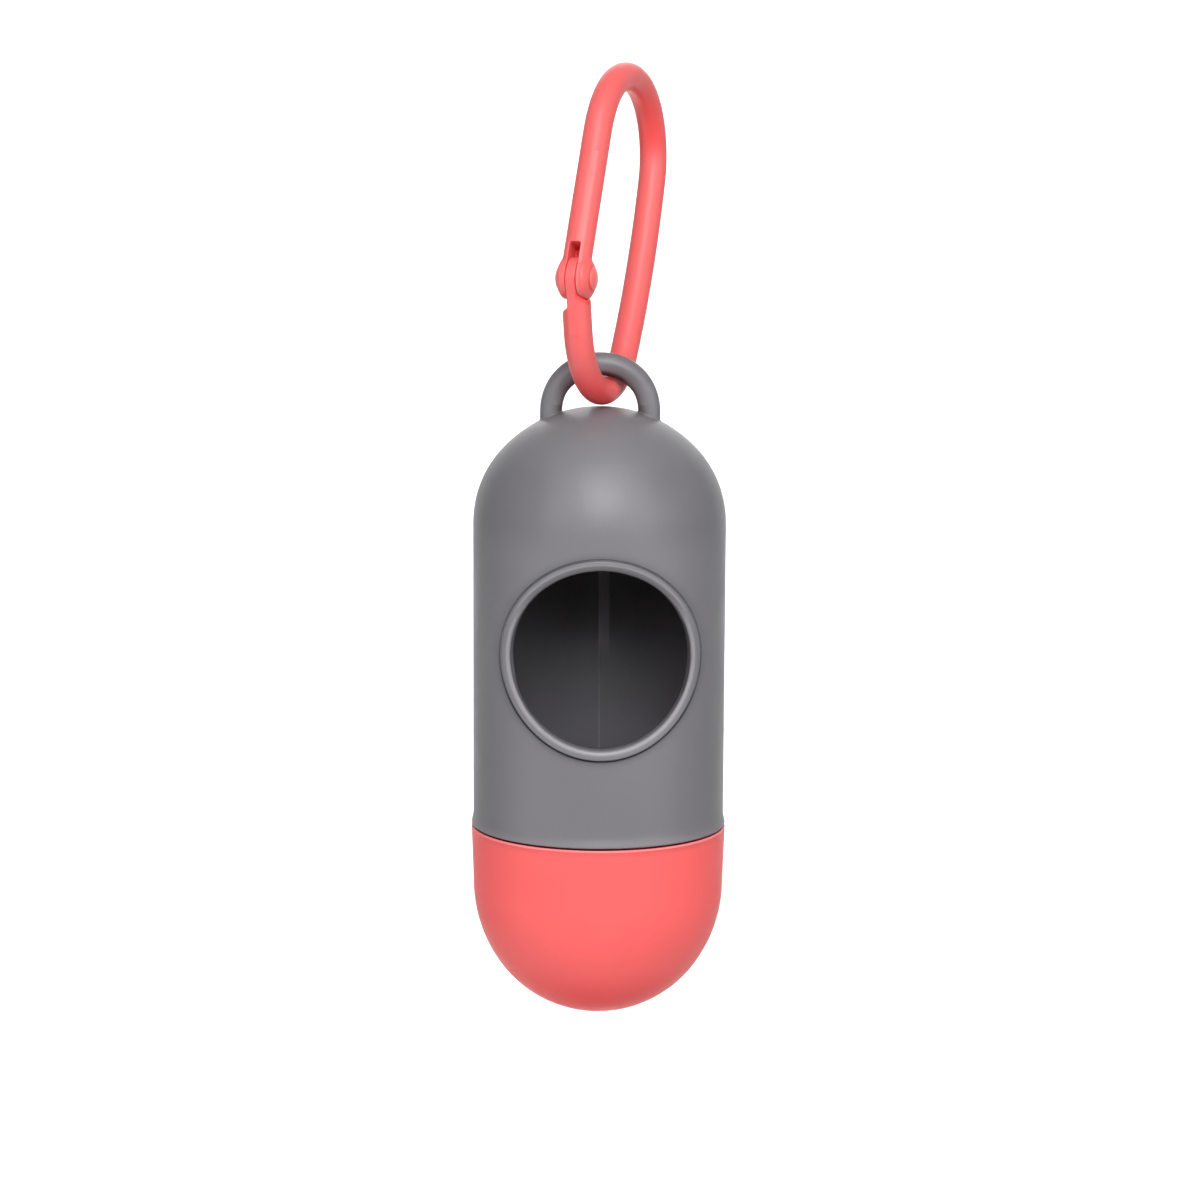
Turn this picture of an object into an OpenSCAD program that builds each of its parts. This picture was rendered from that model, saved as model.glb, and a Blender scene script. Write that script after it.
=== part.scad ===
// Capsule dispenser for rolls of waste bags, hung by a gated clip.
// Millimetres, +Z up. Origin: inside of the clip's top bend, where a lead or
// belt loop carries it. The capsule hangs below in a straight line.

/* [Capsule] */
// Outside diameter of the straight barrel
capsule_d = 40; // [36:0.5:46]
// Height of the straight barrel, from the seam to the start of the dome
barrel_h = 48.3; // [46:0.1:70]
// Height of the dome above the barrel
dome_h = 18.34; // [17.6:0.01:19]
// Radius of the dome's shoulder
dome_shoulder_r = 17; // [16.6:0.1:17.2]
// Wall thickness of the barrel and dome
wall = 1.6; // [1.2:0.1:2]
// Height of the slight flare at the barrel's mouth
flare_h = 1.5; // [0.8:0.1:3]
// How far the mouth flares out beyond the barrel
flare_out = 0.28; // [0:0.02:0.5]

/* [Window] */
// Radius of the round dispensing hole in the front
window_r = 13.85; // [10:0.05:14.5]
// Height of the hole's centre above the seam
window_z = 29.25; // [26:0.05:32]
// Width of the raised rim around the hole
rim_w = 1.8; // [1:0.05:2.5]
// How far the rim stands out from the barrel
rim_out = 0.8; // [0.3:0.05:1.5]
// How far the window is turned from the capsule's front, about its axis
window_turn = 0.9; // [-3:0.1:3]

/* [Hanging ring] */
// Centreline radius of the half-round ring on the dome
ring_r = 7.73; // [7.2:0.01:9]
// Radius of the ring's round wire
ring_wire_r = 1.77; // [1.2:0.01:1.8]
// Height of the ring's arc centre below the dome's top
ring_drop = 0.98; // [0.4:0.01:1.2]

/* [Cap] */
// Height of the tapered side of the cap
cap_side_h = 9.55; // [7:0.05:14]
// Height of the cap's round end
cap_end_h = 21.13; // [20.6:0.01:22]
// Radius of the cap's side arc, where the side turns into the round end
cap_side_r = 22.3; // [21.8:0.1:23]
// Wall thickness of the cap
cap_wall = 2.4; // [1.8:0.1:2.8]
// Gap between the cap's lip and the barrel's mouth
seam_gap = 0.3; // [0.05:0.05:0.4]
// Height of the plug that goes up inside the barrel
plug_h = 6; // [4:0.5:8]
// Thickness of the plug's wall
plug_wall = 1.2; // [0.9:0.1:1.6]
// Radial clearance between the plug and the barrel
plug_gap = 0.15; // [0.1:0.01:0.3]

/* [Clip] */
// Radius of the clip's round bar
bar_r = 2.24; // [1.8:0.02:2.3]
// Centreline radius of the bottom bend, which the ring hangs on
bend_r = 12.06; // [11.5:0.02:13]
// Centreline radius of the long side opposite the gate
spine_r = 112.4; // [90:0.2:200]
// Polar angle where the bottom bend meets the long side
spine_from = -9.27; // [-12:0.01:-5]
// Polar angle where the long side meets the top bend
spine_to = 6.38; // [4:0.01:9]
// Radius of the top bend on the long side
crown_r = 12.21; // [11:0.01:14]
// Radius of the top bend on the gate side
nose_r = 15.42; // [14.5:0.01:17]
// Polar angle where the bottom bend leaves towards the gate's pivot
neck_from = 214.93; // [205:0.01:222]
// Lean of the clip in its own upright plane
clip_lean = 25.1; // [0:0.1:40]
// Turn of the clip's plane from the capsule's front-to-back line
clip_turn = 19.2; // [0:0.1:45]
// Gap between the bar and the underside of the ring
hang_gap = 0.3; // [0.1:0.01:0.4]
// How far the clip hangs to the side of the capsule's axis
clip_x = 0.47; // [-1:0.01:1]

/* [Gate] */
// Height of the gate's free end above the bottom bend's centre
gate_top = 21.5; // [18:0.5:23]
// Slope of the scarf joint between the gate and the nose
scarf = 40; // [25:1:50]
// Gap across the scarf joint
scarf_gap = 0.08; // [0.05:0.01:0.2]
// Radius of the round ears at the gate's lower end
ear_r = 3.2; // [3:0.05:3.4]
// Thickness across the flat lands on the domed ears
ear_w = 5.36; // [5.2:0.02:5.6]
// Radius of the dome on the outside of each ear
ear_dome_r = 5; // [4.6:0.1:8]
// Thickness of the tongue between the ears
tongue_w = 1.66; // [1.4:0.02:1.8]
// Gap on each side of the tongue
tongue_gap = 0.06; // [0.05:0.01:0.15]
// How far the pocket above the tongue runs up the gate from the pivot
slot_up = 4.78; // [4.2:0.01:6.5]
// How far the pivot lies inside the gate's centre line
pivot_in = 1; // [0.9:0.01:1.2]
// Height of the pivot above the bottom bend's centre
pivot_y = -0.03; // [-0.3:0.01:0.3]
// Radius of the pivot pin
pin_r = 0.9; // [0.7:0.05:1.1]
// Radial running clearance of the tongue on the pin
pin_gap = 0.05; // [0.02:0.01:0.1]
// Radius of the pin's heads
head_r = 1.75; // [1.3:0.05:1.8]
// Height of the pin's domed heads
head_h = 0.57; // [0.4:0.01:0.6]

/* [Hidden] */
$fn = 96;
step = 0.02;                               // how much thinner the thin lengths of bar are
lap = 0.5;                                 // how far they run into their neighbours
barrel_r = capsule_d / 2;
bore_r = barrel_r - wall;                  // inside of the barrel
dome_top = barrel_h + dome_h;
// Dome: a shoulder arc and a crown arc that meet in a smooth line
sx = barrel_r - dome_shoulder_r;           // shoulder arc's centre from the axis
dome_crown_r = (sx * sx + dome_h * dome_h - dome_shoulder_r * dome_shoulder_r)
             / (2 * (dome_h - dome_shoulder_r));
dome_cz = dome_top - dome_crown_r;         // crown arc's centre
dome_a = atan2(barrel_h - dome_cz, sx);    // where the two arcs meet
// Cap: a side arc and an end arc that meet in a smooth line
cap_z1 = -cap_side_h;
cap_bottom = cap_z1 - cap_end_h;
cap_r1 = barrel_r - 0.02;
cx = cap_r1 - cap_side_r;                  // side arc's centre, beyond the axis
cap_end_r = (cap_side_r * cap_side_r - cx * cx - cap_end_h * cap_end_h)
          / (2 * (cap_side_r - cap_end_h));
cap_cz = cap_bottom + cap_end_r;           // end arc's centre
cap_a = atan2(cap_cz - cap_z1, -cx);       // where the two arcs meet (negative)
lip_r = barrel_r + flare_out + 0.04;
plug_r = barrel_r - 1.1 - plug_gap;        // plug outside, in the thinned mouth
plug_in = plug_r - plug_wall;
// Ring
ring_z = dome_top - ring_drop;
ring_under = ring_z + ring_r - ring_wire_r;
// Clip's own plane: x across, y along its length, z through its thickness;
// its origin is the centre of the bottom bend
bend_at = [clip_x, 0, ring_under - hang_gap - bar_r + bend_r];
spine_c = -(spine_r - bend_r) * dir(spine_from);
crown_c = spine_c + (spine_r - crown_r) * dir(spine_to);
nose_c = crown_c - [0, nose_r - crown_r];
gate_x = nose_c[0] - nose_r;
neck_p = bend_r * dir(neck_from);
neck_d = [-dir(neck_from)[1], dir(neck_from)[0]] * -1; // towards the pivot
pivot = [gate_x + pivot_in, pivot_y];
neck_l = (pivot - neck_p) * neck_d;
slot_w = tongue_w + 2 * tongue_gap;
// Inside of the top bend, straight up from the bend's centre line of pull
hang_p = nose_c + (nose_r - bar_r) * dir(90 + clip_lean);
function dir(a) = [cos(a), sin(a)];
// Clip plane to capsule frame
function to_cap(p) =
    let (h = p[0] * cos(clip_lean) + p[1] * sin(clip_lean),
         z = -p[0] * sin(clip_lean) + p[1] * cos(clip_lean))
    [bend_at[0] + h * sin(clip_turn), bend_at[1] + h * cos(clip_turn), bend_at[2] + z];
origin = to_cap(hang_p);

module in_frame() translate(-origin) children();
module in_clip()
    in_frame() translate(bend_at) rotate([0, 0, 90 - clip_turn]) rotate([90, 0, 0])
        rotate([0, 0, -clip_lean]) children();

// Wedge of the half plane x >= 0 seen from a point, between two angles
module wedge(a0, a1, l = 80) polygon([[0, 0], l * dir(a0), l * dir((a0 + a1) / 2), l * dir(a1)]);

// Barrel and dome in section, moved in by t
module barrel_2d(t, z0) {
    intersection() {
        union() {
            translate([0, dome_cz]) intersection() {
                circle(r = dome_crown_r - t);
                wedge(dome_a, 90);
            }
            translate([sx, barrel_h]) circle(r = dome_shoulder_r - t);
        }
        translate([0, barrel_h - dome_shoulder_r]) square([barrel_r, dome_top]);
    }
    translate([0, z0]) square([barrel_r - t, barrel_h - z0]);
}

// Round end of the cap in section, moved in by t
module cap_2d(t) {
    intersection() {
        union() {
            translate([0, cap_cz]) circle(r = cap_end_r - t);
            translate([cx, cap_z1]) intersection() {
                circle(r = cap_side_r - t);
                wedge(cap_a, 0);
            }
        }
        translate([0, cap_bottom]) square([barrel_r + 2, cap_end_h]);
    }
}

module shell() color([0.46, 0.46, 0.47]) in_frame() {
    difference() {
        union() {
            difference() {
                union() {
                    rotate_extrude() barrel_2d(0, flare_h);
                    // flare at the mouth
                    cylinder(h = flare_h, r1 = barrel_r + flare_out, r2 = barrel_r);
                    // raised rim round the window
                    intersection() {
                        translate([0, 0, window_z]) rotate([90, 0, window_turn])
                            cylinder(h = 40, r = window_r + rim_w);
                        translate([0, 0, window_z - 25]) cylinder(h = 50, r = barrel_r + rim_out);
                    }
                }
                // inside
                rotate_extrude() barrel_2d(wall, -1);
                // thinned mouth for the cap's plug
                translate([0, 0, -1]) cylinder(h = plug_h + 1.4, r = barrel_r - 1.1);
            }
            // inner rib down the back wall
            translate([-0.1, bore_r - 0.6, plug_h + 2]) cube([1.8, 1.2, barrel_h - plug_h - 4]);
            // hanging ring and its feet
            for (s = [-1, 1]) translate([s * ring_r, 0, 0]) {
                translate([0, 0, dome_top - 2.7]) cylinder(h = ring_z - dome_top + 2.7, r = ring_wire_r);
                translate([0, 0, dome_top - 2.7]) cylinder(h = 2.1, r1 = ring_wire_r + 0.9, r2 = ring_wire_r - 0.05);
            }
            translate([0, 0, ring_z]) rotate([90, 0, 0]) rotate_extrude(angle = 180)
                translate([ring_r, 0]) circle(r = ring_wire_r);
        }
        // dispensing hole
        translate([0, 0, window_z]) rotate([90, 0, window_turn]) cylinder(h = 40, r = window_r);
    }
}

module cap() color([0.98, 0.42, 0.42]) in_frame() difference() {
    union() {
        rotate_extrude() cap_2d(0);
        // tapered side, up to the lip
        translate([0, 0, cap_z1]) cylinder(h = cap_side_h - seam_gap - 0.5, r1 = cap_r1, r2 = lip_r);
        translate([0, 0, -seam_gap - 0.5]) cylinder(h = 0.5, r1 = lip_r, r2 = lip_r - 0.3);
        // plug with its snap bead
        translate([0, 0, -1]) cylinder(h = plug_h + 0.7, r = plug_r);
        translate([0, 0, plug_h - 0.3]) cylinder(h = 0.3, r1 = plug_r, r2 = plug_r - 0.3);
        translate([0, 0, plug_h - 2.3]) rotate_extrude() translate([plug_r - 0.42, 0]) circle(r = 0.5);
    }
    rotate_extrude() intersection() {
        union() {
            cap_2d(cap_wall);
            translate([0, cap_z1]) square([plug_in, cap_side_h + plug_h + 1]);
        }
        translate([0, cap_bottom]) square([plug_in, 80]);
    }
}

// Round bar along an arc in the clip's plane. Every second length of bar is a
// hair thinner and runs a little way into its neighbours, so that they join.
module bar_arc(c, r, a0, a1, thin = 0) {
    e = thin > 0 ? lap / r * 180 / PI : 0;
    translate([c[0], c[1], 0]) rotate([0, 0, a0 - e]) rotate_extrude(angle = a1 - a0 + 2 * e)
        translate([r, 0]) circle(r = bar_r - thin);
}
// Round bar from p along direction d in the clip's plane
module bar_line(p, d, l, thin = 0)
    translate([p[0], p[1], 0]) rotate([0, 0, atan2(d[1], d[0])]) rotate([0, 90, 0])
        translate([0, 0, thin > 0 ? -lap : 0]) cylinder(h = l + (thin > 0 ? lap : 0), r = bar_r - thin);
// Half plane on one side of the scarf joint
module scarf_side(s)
    translate([gate_x, gate_top, 0]) rotate([0, 0, scarf])
        translate([-20, s > 0 ? -scarf_gap / 2 : -20 + scarf_gap / 2, -10]) cube([40, 20, 20]);

module clip_body() color([0.98, 0.45, 0.44]) in_clip() {
    bar_arc([0, 0], bend_r, neck_from - 360, spine_from);
    bar_arc(spine_c, spine_r, spine_from, spine_to, step);
    bar_arc(crown_c, crown_r, spine_to, 90);
    bar_arc(nose_c, nose_r, 90, 180, step);
    // nose, cut to the scarf joint
    difference() {
        bar_line([gate_x, nose_c[1]], [0, -1], 6);
        scarf_side(-1);
    }
    // neck, stepped down on both sides to the tongue
    difference() {
        union() {
            difference() {
                bar_line(neck_p, neck_d, neck_l, step);
                neck_step();
                translate([pivot[0], pivot[1], tongue_w / 2 - 0.01]) cylinder(h = 3, r = ear_r + 0.12);
            }
            translate([pivot[0], pivot[1], -tongue_w / 2]) cylinder(h = tongue_w, r = ear_r - 0.05);
        }
        translate([pivot[0], pivot[1], -3]) cylinder(h = 6, r = pin_r + pin_gap);
        // slot that the spring's lower end runs in as the gate opens
        translate([pivot[0], pivot[1], -0.65]) linear_extrude(height = 1.3) intersection() {
            difference() { circle(r = ear_r + 0.42); circle(r = ear_r - 0.02); }
            wedge(-61, 0, 8);
        }
    }
}

// What is cut from the open side of the neck, down to the tongue's face
module neck_step()
    translate([pivot[0], pivot[1], 0]) rotate([0, 0, atan2(-neck_d[1], -neck_d[0])])
        rotate([90, 0, 0]) translate([0, 0, -6]) linear_extrude(height = 12)
            polygon([[-2.5, -tongue_w / 2 + 0.01], [4, -tongue_w / 2 + 0.01], [5, -2.4], [5, -3], [-2.5, -3]]);

// Both ears as one disc in section, domed outside with a flat land for the pin
module ear_2d() intersection() {
    translate([0, -ear_w / 2]) square([ear_r, ear_w]);
    translate([0, ear_w / 2 + 0.37 - ear_dome_r]) circle(r = ear_dome_r);
    translate([0, ear_dome_r - ear_w / 2 - 0.37]) circle(r = ear_dome_r);
}

module gate() color([0.98, 0.45, 0.44]) in_clip() difference() {
    union() {
        difference() {
            bar_line([gate_x, pivot[1]], [0, 1], gate_top - pivot[1] + 4);
            scarf_side(1);
        }
        translate([pivot[0], pivot[1], 0]) rotate_extrude() ear_2d();
    }
    // slot for the tongue; above it a pocket on each side of a thin web
    translate([pivot[0], pivot[1], -slot_w / 2]) linear_extrude(height = slot_w) {
        translate([-6, -6]) square([12, 6 + ear_r + 0.03]);
        translate([-6, 0]) square([5.95, slot_up]);
        translate([0.5, 0]) square([5.5, slot_up]);
    }
    translate([pivot[0], pivot[1], -4]) cylinder(h = 8, r = pin_r);
}

// Pivot pin, with a domed head seated on each ear's land
module gate_pin() color([0.94, 0.40, 0.40]) in_clip() translate([pivot[0], pivot[1], 0]) {
    translate([0, 0, -ear_w / 2]) cylinder(h = ear_w, r = pin_r);
    for (s = [0, 180]) rotate([s, 0, 0]) rotate_extrude() intersection() {
        translate([0, ear_w / 2]) square([head_r, head_h]);
        translate([0, ear_w / 2 + head_h - 4.25]) circle(r = 4.25);
    }
}

// Bent leaf on the inner side: a foot against the web and a curved arm that
// lies round the tongue's end and is pushed back by the neck as the gate opens
module gate_spring() color([0.75, 0.75, 0.77]) in_clip()
    translate([pivot[0], pivot[1], -0.55]) linear_extrude(height = 1.1) {
        translate([0.62, ear_r + 0.1]) square([0.2, slot_up - ear_r - 0.2]);
        intersection() {
            difference() { circle(r = ear_r + 0.3); circle(r = ear_r + 0.1); }
            wedge(-18, 78, 8);
        }
    }

shell();
cap();
clip_body();
gate();
gate_pin();
gate_spring();
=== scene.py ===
# Looks for the waste bag capsule and its clip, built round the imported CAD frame.
# Lengths in the helper code are millimetres in the capsule's own frame (seam plane z = 0,
# axis through x = y = 0); everything is moved and scaled to metres when a mesh is made.
import bpy, bmesh, math
import numpy as np
from mathutils import Matrix, Vector


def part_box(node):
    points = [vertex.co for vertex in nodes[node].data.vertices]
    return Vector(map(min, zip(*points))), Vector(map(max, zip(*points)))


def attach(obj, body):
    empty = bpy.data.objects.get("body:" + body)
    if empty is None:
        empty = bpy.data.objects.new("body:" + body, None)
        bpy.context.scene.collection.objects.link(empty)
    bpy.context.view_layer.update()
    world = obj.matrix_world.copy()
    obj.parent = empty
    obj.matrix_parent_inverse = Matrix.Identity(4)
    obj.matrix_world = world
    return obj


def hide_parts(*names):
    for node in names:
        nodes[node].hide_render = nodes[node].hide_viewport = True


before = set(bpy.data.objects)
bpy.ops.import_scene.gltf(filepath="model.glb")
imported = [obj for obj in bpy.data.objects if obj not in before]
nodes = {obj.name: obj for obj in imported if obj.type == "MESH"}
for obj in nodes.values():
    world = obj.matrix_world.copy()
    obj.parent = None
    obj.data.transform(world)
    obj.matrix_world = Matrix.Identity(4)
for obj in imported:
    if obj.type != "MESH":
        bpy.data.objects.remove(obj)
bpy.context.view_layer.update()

# ---------------------------------------------------------------- frame
_lo, _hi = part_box("shell")
_clo, _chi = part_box("cap")
ORG = np.array([(_clo.x + _chi.x) / 2, (_clo.y + _chi.y) / 2, _lo.z]) * 1000.0   # capsule frame's origin


def put_mm(p):
    return (np.asarray(p, float) + ORG) * 0.001


R = 20.0             # barrel, outside
WALL = 1.6
RI = R - WALL
BARREL_H = 48.3
DOME_H = 18.34
SH_R = 17.0          # dome's shoulder arc
SX = R - SH_R
CROWN_R = (SX * SX + DOME_H ** 2 - SH_R ** 2) / (2 * (DOME_H - SH_R))
DOME_CZ = BARREL_H + DOME_H - CROWN_R
DOME_A = math.atan2(BARREL_H - DOME_CZ, SX)
WIN_R, WIN_Z, RIM_OUT, WIN_TURN = 13.86, 29.25, 0.78, math.radians(0.9)
RING_R, RING_W = 7.73, 1.76
RING_Z = BARREL_H + DOME_H - 0.98
PLUG_H = 6.0
# cap
CAP_Z1, CAP_END, CAP_SR = -9.55, 21.13, 22.3
CAP_R1 = R - 0.02
CX = CAP_R1 - CAP_SR
CAP_BOT = CAP_Z1 - CAP_END
CAP_ER = (CAP_SR ** 2 - CX ** 2 - CAP_END ** 2) / (2 * (CAP_SR - CAP_END))
CAP_CZ = CAP_BOT + CAP_ER
CAP_A = math.atan2(CAP_CZ - CAP_Z1, -CX)
# clip, in its own plane
BAR, BEND_R, SPINE_R, CROWN2_R, NOSE_R = 2.22, 12.06, 112.4, 12.21, 15.42
SP0, SP1, NECK_A = -9.27, 6.38, 214.93
LEAN, TURN = math.radians(25.1), math.radians(19.2)
BEND = np.array([0.47, 0.0, RING_Z + 7.73 - 1.77 - 0.3 - 2.24 + BEND_R])


def cis(a):
    return np.array([math.cos(math.radians(a)), math.sin(math.radians(a))])


SPINE_C = -(SPINE_R - BEND_R) * cis(SP0)
CROWN_C = SPINE_C + (SPINE_R - CROWN2_R) * cis(SP1)
NOSE_C = CROWN_C - np.array([0, NOSE_R - CROWN2_R])
GATE_X = NOSE_C[0] - NOSE_R
NECK_P = BEND_R * cis(NECK_A)
NECK_D = np.array([cis(NECK_A)[1], -cis(NECK_A)[0]])
PIVOT = np.array([GATE_X + 1.0, -0.03])
NECK_L = float((PIVOT - NECK_P) @ NECK_D)
NECK_E = NECK_P + NECK_L * NECK_D      # end of the neck's centre line, abreast of the pivot
GATE_TOP, SCARF, SCARF_GAP = 21.5, math.radians(40), 0.014
EAR_R, EAR_W, EAR_DR, TONGUE_W, TONGUE_GAP, SLOT_UP = 3.2, 5.36, 5.0, 1.66, 0.06, 4.78
PIN_R, HEAD_R, HEAD_H = 0.9, 1.75, 0.55


def clip_to_cap(p):
    """Clip plane (x across, y along, z through) to the capsule frame."""
    p = np.asarray(p, float)
    h = p[..., 0] * math.cos(LEAN) + p[..., 1] * math.sin(LEAN)
    z = -p[..., 0] * math.sin(LEAN) + p[..., 1] * math.cos(LEAN)
    n = p[..., 2]
    return np.stack([BEND[0] + h * math.sin(TURN) + n * math.cos(TURN),
                     BEND[1] + h * math.cos(TURN) - n * math.sin(TURN),
                     BEND[2] + z], -1)


# ---------------------------------------------------------------- mesh helpers
def make_object(name, verts_mm, faces, smooth=True, normals=None):
    me = bpy.data.meshes.new(name)
    me.from_pydata([tuple(v) for v in put_mm(verts_mm)], [], [tuple(int(i) for i in f) for f in faces])
    me.validate(verbose=False)
    me.update()
    if smooth:
        me.polygons.foreach_set("use_smooth", np.ones(len(me.polygons), bool))
    ob = bpy.data.objects.new(name, me)
    bpy.context.scene.collection.objects.link(ob)
    return ob


class Build:
    """Collects vertices and faces, then welds what falls on the same point."""

    def __init__(self):
        self.v, self.f, self.n = [], [], 0

    def grid(self, P, close_u=False, flip=False):
        """P is (u, v, 3); close_u joins the last row of u to the first."""
        nu, nv = P.shape[:2]
        idx = self.n + np.arange(nu * nv).reshape(nu, nv)
        self.v.append(P.reshape(-1, 3))
        self.n += nu * nv
        a = idx if not close_u else np.vstack([idx, idx[:1]])
        q = np.stack([a[:-1, :-1], a[1:, :-1], a[1:, 1:], a[:-1, 1:]], -1).reshape(-1, 4)
        self.f.append(q[:, ::-1] if flip else q)
        return idx

    def weld(self, tol=1e-4):
        V = np.vstack(self.v)
        key = np.round(V / tol).astype(np.int64)
        _, first, inv = np.unique(key, axis=0, return_index=True, return_inverse=True)
        inv = inv.reshape(-1)
        V = V[first]
        faces = []
        for q in self.f:
            for f in inv[q]:
                g = []
                for i in f:
                    if i not in g:
                        g.append(int(i))
                if len(g) >= 3:
                    faces.append(g)
        return V, faces


def arc(cx, cz, r, a0, a1, n):
    a = np.radians(np.linspace(a0, a1, n))
    return [(cx + r * math.cos(t), cz + r * math.sin(t)) for t in a]


def lathe(prof, seg, close=False):
    """(r, z) points to a (seg, len, 3) grid about z, starting at -Y and turning towards +X."""
    prof = np.array(prof, float)
    t = np.linspace(0, 2 * math.pi, seg, endpoint=False)
    r, z = prof[:, 0], prof[:, 1]
    return np.stack([np.outer(np.sin(t), r), np.outer(-np.cos(t), r), np.broadcast_to(z, (seg, len(z)))], -1)


# ---------------------------------------------------------------- surface from a distance field
def surface_net(f, lo, hi, h, newton=4):
    lo, hi = np.array(lo, float), np.array(hi, float)
    n = np.ceil((hi - lo) / h).astype(int) + 1
    xs, ys, zs = [lo[k] + h * np.arange(n[k]) for k in range(3)]
    F = np.empty(n, np.float32)
    YY, ZZ = np.meshgrid(ys, zs, indexing="ij")
    for i in range(0, n[0], 16):
        xi = xs[i:i + 16]
        P = np.empty((len(xi),) + YY.shape + (3,))
        P[..., 0] = xi[:, None, None]
        P[..., 1] = YY
        P[..., 2] = ZZ
        F[i:i + 16] = f(P)
    inside = F < 0
    c = inside.astype(np.int8)
    tot = sum(c[a:n[0] - 1 + a, b:n[1] - 1 + b, d:n[2] - 1 + d] for a in (0, 1) for b in (0, 1) for d in (0, 1))
    act = (tot > 0) & (tot < 8)
    cells = np.argwhere(act)
    ids = -np.ones(act.shape, np.int64)
    ids[act] = np.arange(len(cells))
    acc = np.zeros((len(cells), 3))
    cnt = np.zeros(len(cells))
    corners = [(a, b, d) for a in (0, 1) for b in (0, 1) for d in (0, 1)]
    vals = {k: F[cells[:, 0] + k[0], cells[:, 1] + k[1], cells[:, 2] + k[2]].astype(float) for k in corners}
    for k in corners:
        for ax in range(3):
            if k[ax] == 0:
                m = list(k); m[ax] = 1; m = tuple(m)
                a, b = vals[k], vals[m]
                s = (a < 0) != (b < 0)
                t = np.where(s, a / np.where(s, a - b, 1), 0)
                p = np.array(k, float)[None].repeat(len(cells), 0)
                p[:, ax] += t
                acc[s] += p[s]
                cnt[s] += 1
    P = lo + h * (cells + acc / cnt[:, None])
    base = P.copy()
    e = h * 0.02
    for _ in range(newton):
        v = f(P)
        g = np.stack([(f(P + np.eye(3)[k] * e) - f(P - np.eye(3)[k] * e)) / (2 * e) for k in range(3)], -1)
        g2 = np.maximum((g * g).sum(-1), 0.25)
        step = -(v / g2)[:, None] * g
        P = P + np.clip(step, -h * 0.5, h * 0.5)
    P = base + np.clip(P - base, -h * 0.9, h * 0.9)
    faces = []
    for ax in range(3):
        a = np.take(inside, range(0, n[ax] - 1), ax)
        b = np.take(inside, range(1, n[ax]), ax)
        cross = np.argwhere(a != b)
        o1, o2 = [(1, 2), (2, 0), (0, 1)][ax]
        ok = (cross[:, o1] > 0) & (cross[:, o2] > 0) & (cross[:, o1] < n[o1] - 1) & (cross[:, o2] < n[o2] - 1)
        cross = cross[ok]
        q = []
        for d1, d2 in ((-1, -1), (0, -1), (0, 0), (-1, 0)):
            k = cross.copy()
            k[:, o1] += d1
            k[:, o2] += d2
            q.append(ids[k[:, 0], k[:, 1], k[:, 2]])
        q = np.stack(q, -1)
        out = a[cross[:, 0], cross[:, 1], cross[:, 2]]
        q[~out] = q[~out][:, ::-1]
        faces.append(q)
    return P, np.vstack(faces)


def smin(a, b, k):
    h = np.clip(0.5 + 0.5 * (b - a) / k, 0, 1)
    return b * (1 - h) + a * h - k * h * (1 - h)


def smax(a, b, k):
    return -smin(-a, -b, k)


def seg2(P, a, b):
    d = np.asarray(b, float) - a
    t = np.clip(((P[..., 0] - a[0]) * d[0] + (P[..., 1] - a[1]) * d[1]) / (d @ d), 0, 1)
    return np.hypot(P[..., 0] - a[0] - t * d[0], P[..., 1] - a[1] - t * d[1])


def arc2(P, c, r, a0, a1):
    """Distance in the plane to an arc from a0 to a1 (degrees, a0 < a1)."""
    x, y = P[..., 0] - c[0], P[..., 1] - c[1]
    mid, half = math.radians((a0 + a1) / 2), math.radians((a1 - a0) / 2)
    u, v = x * math.cos(mid) + y * math.sin(mid), -x * math.sin(mid) + y * math.cos(mid)
    on = np.abs(np.arctan2(v, u)) <= half
    e = np.hypot(u - r * math.cos(half), np.abs(v) - r * math.sin(half))
    return np.where(on, np.abs(np.hypot(x, y) - r), e)


# ---------------------------------------------------------------- materials
def place(nt, tc, origin, axes):
    """Where a point is, in millimetres: ("along", v) measures along v from the origin, and
    ("off", v) the distance from the line through the origin along v."""
    sub = nt.nodes.new("ShaderNodeVectorMath"); sub.operation = "SUBTRACT"
    nt.links.new(tc.outputs["Object"], sub.inputs[0])
    sub.inputs[1].default_value = tuple(put_mm(origin))
    out = {}
    for k, (how, v) in axes.items():
        n = nt.nodes.new("ShaderNodeVectorMath")
        n.operation = "CROSS_PRODUCT" if how == "off" else "DOT_PRODUCT"
        nt.links.new(sub.outputs[0], n.inputs[0])
        n.inputs[1].default_value = tuple(float(c) * 1000.0 for c in v)
        if how == "off":
            m = nt.nodes.new("ShaderNodeVectorMath"); m.operation = "LENGTH"
            nt.links.new(n.outputs[0], m.inputs[0])
            n = m
        out[k] = n.outputs["Value"]
    return out


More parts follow.
